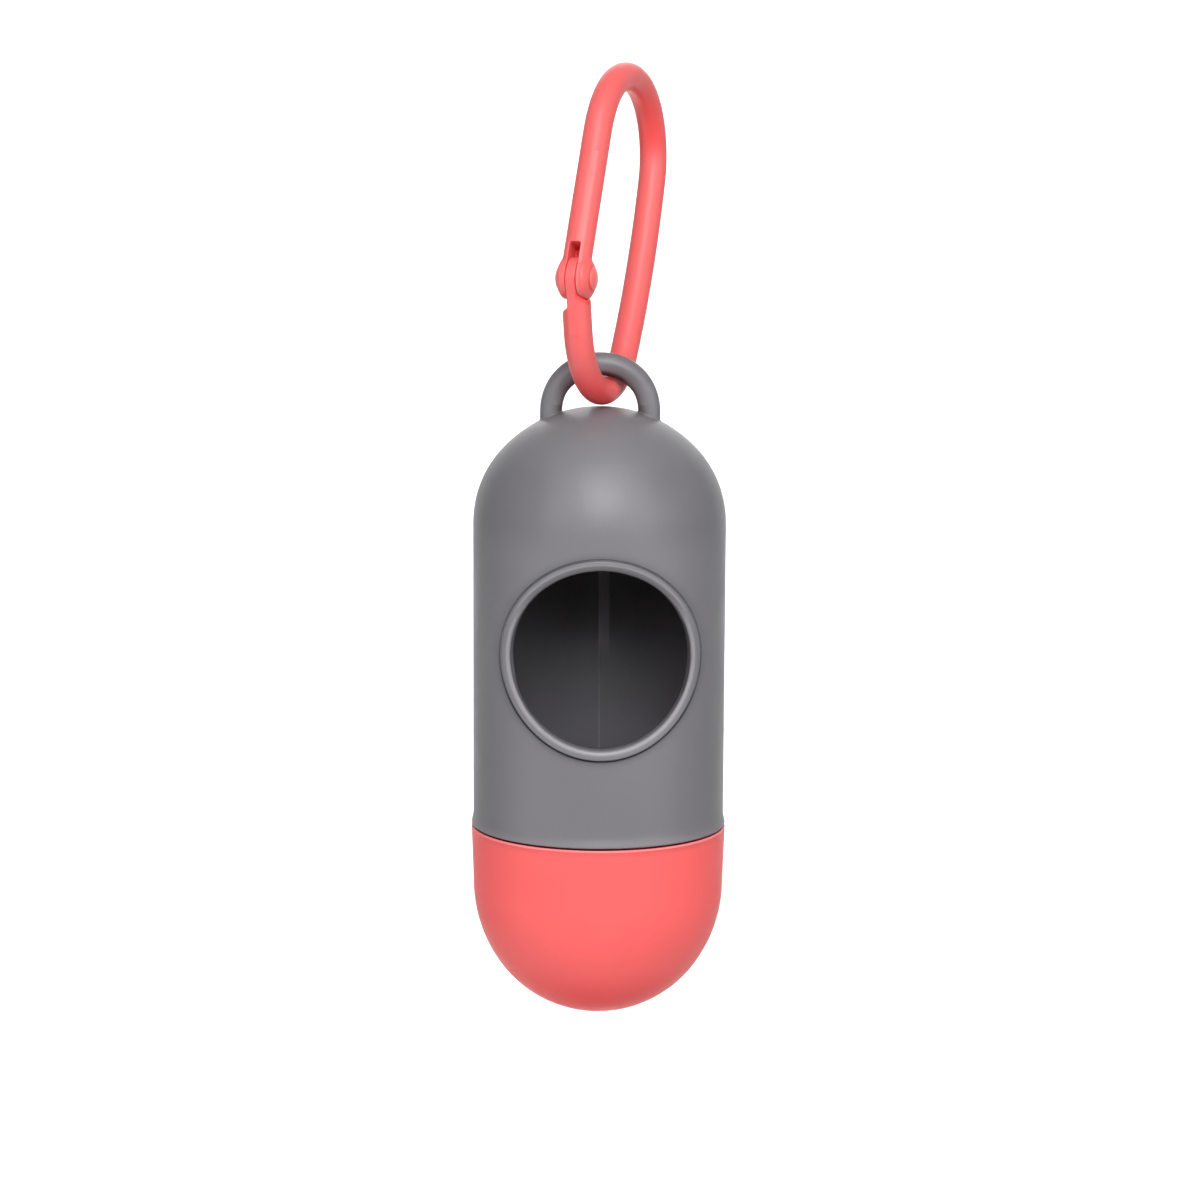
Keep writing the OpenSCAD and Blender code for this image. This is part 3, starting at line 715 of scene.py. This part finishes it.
def body_field(P):
    z = P[..., 2]
    az = np.abs(z)
    d = np.minimum(clip_line(P), seg2(P, np.array([GATE_X, NOSE_C[1]]), np.array([GATE_X, GATE_TOP - 4])))
    f = np.hypot(d, z) - BAR
    # neck, stepped down to the tongue: a slope on the open side, a round shoulder on the other
    dn = seg2(P, NECK_P, NECK_E)
    s = -(P[..., 0] - PIVOT[0]) * NECK_D[0] - (P[..., 1] - PIVOT[1]) * NECK_D[1]
    rp = np.hypot(P[..., 0] - PIVOT[0], P[..., 1] - PIVOT[1])
    neck = np.hypot(dn, z) - BAR
    slope = (4.0 + (-z - TONGUE_W / 2) * 0.62 - s) * 0.85
    slope = np.where(z < 0, slope, np.where(z > TONGUE_W / 2, -9.0, slope))
    neck = smax(neck, np.where(z < 0, slope, -9.0), 0.45)
    shoulder = smax(np.where(z > 0, EAR_R + 0.12 - rp, -9.0), -9.0, 0.1)
    neck = smax(neck, shoulder, 0.25)
    flat = smin(rp - (EAR_R - 0.05), dn - BAR, 0.8)
    tongue = smax(flat, az - TONGUE_W / 2, 0.22)
    neck = smin(neck, tongue, 0.3)
    f = smin(f, neck, 0.02)
    # slot that the spring's lower end runs in
    px, py = P[..., 0] - PIVOT[0], P[..., 1] - PIVOT[1]
    slot = np.maximum(np.maximum(EAR_R - 0.02 - rp, rp - EAR_R - 0.42), az - 0.65)
    slot = np.maximum(np.maximum(slot, -(0.8746 * px + 0.4848 * py)), py)
    f = smax(f, -slot, 0.05)
    return smax(f, PIN_R + 0.05 - rp, 0.05)


def gate_field(P):
    z = P[..., 2]
    az = np.abs(z)
    x = P[..., 0] - PIVOT[0]
    y = P[..., 1] - PIVOT[1]
    d = seg2(P, np.array([GATE_X, PIVOT[1] + 1.0]), np.array([GATE_X, GATE_TOP + 8]))
    f = np.hypot(d, z) - BAR
    rp = np.hypot(x, y)
    dome = np.sqrt(rp * rp + (az - (EAR_W / 2 + 0.37 - EAR_DR)) ** 2) - EAR_DR
    ear = smax(rp - EAR_R, dome, 0.22)
    ear = smax(ear, az - EAR_W / 2, 0.08)
    f = smin(f, ear, 0.28)
    # slot through the ears, and a pocket on each side of the web above the tongue
    w = az - (TONGUE_W / 2 + TONGUE_GAP)
    thru = smax(w, y - (EAR_R + 0.03), 0.1)
    out = smax(smax(w, y - SLOT_UP, 0.35), x - 0.34, 0.15)
    inn = smax(smax(w, y - SLOT_UP, 0.25), 0.5 - x, 0.1)
    slot = np.minimum(thru, np.minimum(out, inn))
    f = smax(f, -slot, 0.16)
    return smax(f, PIN_R - rp, 0.05)


h_body = 0.16
V, F = surface_net(body_field, (PIVOT[0] - 4.0, -15.0, -2.6), (15.9, 42.4, 2.6), h_body)
clip = make_object("clip_bar", clip_to_cap(V), F)
V, F = surface_net(gate_field, (PIVOT[0] - 3.9, PIVOT[1] - 3.9, -3.2), (PIVOT[0] + 3.9, GATE_TOP + 4.5, 3.2), 0.1)
gate = make_object("gate_bar", clip_to_cap(V), F)


def cut_scarf(ob, above):
    """Cuts an end of bar off flat at the scarf joint and closes it with one sharp-edged face."""
    c2 = np.array([GATE_X, GATE_TOP])
    nrm = np.array([-math.sin(SCARF), math.cos(SCARF)])
    c2 = c2 + nrm * (SCARF_GAP / 2 if above else -SCARF_GAP / 2)
    at = Vector(put_mm(clip_to_cap(np.array([c2[0], c2[1], 0.0]))))
    tip = Vector(put_mm(clip_to_cap(np.array([c2[0] + nrm[0], c2[1] + nrm[1], 0.0]))))
    no = (tip - at).normalized()
    bm = bmesh.new()
    bm.from_mesh(ob.data)
    near = [f for f in bm.faces if (f.calc_center_median() - at).length < 0.0078]
    geom = list({v for f in near for v in f.verts}) + list({e for f in near for e in f.edges}) + near
    bmesh.ops.bisect_plane(bm, geom=geom, dist=1e-7, plane_co=at, plane_no=no,
                           clear_inner=above, clear_outer=not above)
    rim_e = [e for e in bm.edges if e.is_boundary]
    made = bmesh.ops.contextual_create(bm, geom=rim_e)
    for f in made["faces"]:
        f.smooth = False
        want = -no if above else no
        f.normal_update()
        if f.normal.dot(want) < 0:
            f.normal_flip()
    for e in rim_e:
        e.smooth = False
    bm.to_mesh(ob.data)
    bm.free()
    ob.data.update()


cut_scarf(clip, True)
cut_scarf(gate, False)


def pin_mesh():
    B = Build()
    t = EAR_W / 2
    half = [(PIN_R, 0.0), (PIN_R, t - 0.02), (HEAD_R - 0.1, t - 0.01), (HEAD_R - 0.02, t + 0.03), (HEAD_R, t + 0.08)]
    half += arc(0, t + HEAD_H - 4.25, 4.25, 66.6, 90, 12)
    half[5] = (HEAD_R - 0.02, t + 0.14)
    prof = [(r, -z) for r, z in half[::-1]][:-1] + half
    prof[0] = (0.0, prof[0][1]); prof[-1] = (0.0, prof[-1][1])
    g = lathe(prof, 48)
    g = g + np.array([PIVOT[0], PIVOT[1], 0])
    B.grid(g, close_u=True)
    return B.weld()


V, F = pin_mesh()
pin = make_object("gate_rivet", clip_to_cap(V), F)

# ---------------------------------------------------------------- attach
for ob, body, node, slot, mat in (
        (shell, "capsule", "shell", "shell_plastic", mat_shell),
        (ring, "capsule", "shell", "shell_plastic", mat_shell),
        (rib, "capsule", "shell", "shell_plastic", mat_shell),
        (cap, "end_cap", "cap", "cap_plastic", mat_cap),
        (clip, "clip", "clip_body", "clip_plastic", mat_clip),
        (gate, "clip_gate", "gate", "clip_plastic", mat_gate),
        (pin, "clip_gate", "gate_pin", "pin_painted", mat_pin)):
    ob.data.materials.append(mat)
    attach(ob, body)
    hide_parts(node)
sp = nodes["gate_spring"]
for s in sp.material_slots:
    s.material = mat_spring


# ---------------------------------------------------------------- camera
CAM_D, CAM_Z, PITCH, ROLL, F_PX, CAM_X = 459.8, 100.79, math.radians(8.04), math.radians(0.27), 2924.0, 0.12
cam_data = bpy.data.cameras.new("camera")
cam_data.sensor_fit = "HORIZONTAL"
cam_data.sensor_width = 36.0
cam_data.lens = 36.0 * F_PX / 1200.0
cam_data.clip_start = 0.01
cam_data.clip_end = 50.0
cam = bpy.data.objects.new("camera", cam_data)
bpy.context.scene.collection.objects.link(cam)
fwd = Vector((0, math.cos(PITCH), -math.sin(PITCH)))
up = Vector((0, math.sin(PITCH), math.cos(PITCH)))
rt = Vector((1, 0, 0))
rv = math.cos(ROLL) * rt + math.sin(ROLL) * up
uv = -math.sin(ROLL) * rt + math.cos(ROLL) * up
M = Matrix.Identity(4)
for i in range(3):
    M[i][0], M[i][1], M[i][2] = rv[i], uv[i], -fwd[i]
loc = put_mm([CAM_X, -CAM_D, CAM_Z])
for i in range(3):
    M[i][3] = loc[i]
cam.matrix_world = M
bpy.context.scene.camera = cam


# ---------------------------------------------------------------- floor and light
def floor_material():
    m = bpy.data.materials.new("studio_floor")
    m.use_nodes = True
    nt = m.node_tree
    bs = nt.nodes["Principled BSDF"]
    tc = nt.nodes.new("ShaderNodeTexCoord")
    nz = nt.nodes.new("ShaderNodeTexNoise")
    nz.inputs["Scale"].default_value = 3.0
    nt.links.new(tc.outputs["Object"], nz.inputs["Vector"])
    cr = nt.nodes.new("ShaderNodeValToRGB")
    cr.color_ramp.elements[0].color = (0.90, 0.90, 0.90, 1)
    cr.color_ramp.elements[1].color = (0.93, 0.93, 0.93, 1)
    nt.links.new(nz.outputs["Fac"], cr.inputs[0])
    nt.links.new(cr.outputs[0], bs.inputs["Base Color"])
    bs.inputs["Roughness"].default_value = 0.9
    bs.inputs["Specular IOR Level"].default_value = 0.1
    return m


def sweep():
    """Floor that curves up into a backdrop, well below and behind the capsule."""
    z0 = put_mm([0, 0, CAP_BOT - 600])[2]
    pts = [(y, 0.0) for y in (-3.0, -1.0, 0.0, 0.6)]
    for a in np.radians(np.linspace(-90, 0, 14))[1:]:
        pts.append((0.6 + 0.9 * math.cos(a), 0.9 + 0.9 * math.sin(a)))
    pts += [(1.5, 1.6), (1.5, 3.0)]
    n = len(pts)
    vs = [(x, y, z + z0) for x in (-3.0, 3.0) for y, z in pts]
    fs = [(i, i + n, i + n + 1, i + 1) for i in range(n - 1)]
    me = bpy.data.meshes.new("studio_sweep")
    me.from_pydata(vs, [], fs)
    me.polygons.foreach_set("use_smooth", np.ones(len(me.polygons), bool))
    ob = bpy.data.objects.new("studio_sweep", me)
    bpy.context.scene.collection.objects.link(ob)
    me.materials.append(floor_material())
    return ob


sweep()


def area(name, at_mm, aim_mm, size, power, size_y=None, color=(1, 1, 1)):
    d = bpy.data.lights.new(name, "AREA")
    d.energy = power
    d.color = color
    d.size = size
    if size_y:
        d.shape = "RECTANGLE"
        d.size_y = size_y
    ob = bpy.data.objects.new(name, d)
    bpy.context.scene.collection.objects.link(ob)
    p, q = Vector(put_mm(at_mm)), Vector(put_mm(aim_mm))
    ob.location = p
    ob.rotation_euler = (q - p).to_track_quat("-Z", "Y").to_euler()
    return ob


area("key", (40, -600, 375), (0, 0, 45), 0.62, 1.40, size_y=0.42)
area("spot", (30, -612, 372), (0, 0, 45), 0.22, 1.77)
area("key_high", (30, -440, 600), (0, 0, 45), 0.40, 1.88)
area("fill_left", (-500, -420, 160), (0, 0, 40), 0.50, 0.66)
area("fill_right", (500, -420, 160), (0, 0, 40), 0.50, 1.50)
area("low_left", (-500, -200, -330), (0, 0, 0), 0.50, 0.90)
area("wash_above", (0, 850, 880), (0, 1500, 420), 1.0, 22.0)
area("wash_below", (0, 600, -520), (0, 1500, -250), 0.6, 3.5)
w = bpy.data.worlds.new("studio_world")
bpy.context.scene.world = w
w.use_nodes = True
w.node_tree.nodes["Background"].inputs[0].default_value = (1, 1, 1, 1)
w.node_tree.nodes["Background"].inputs[1].default_value = 0.147
bpy.context.scene.view_settings.view_transform = "Standard"
bpy.context.scene.view_settings.look = "None"
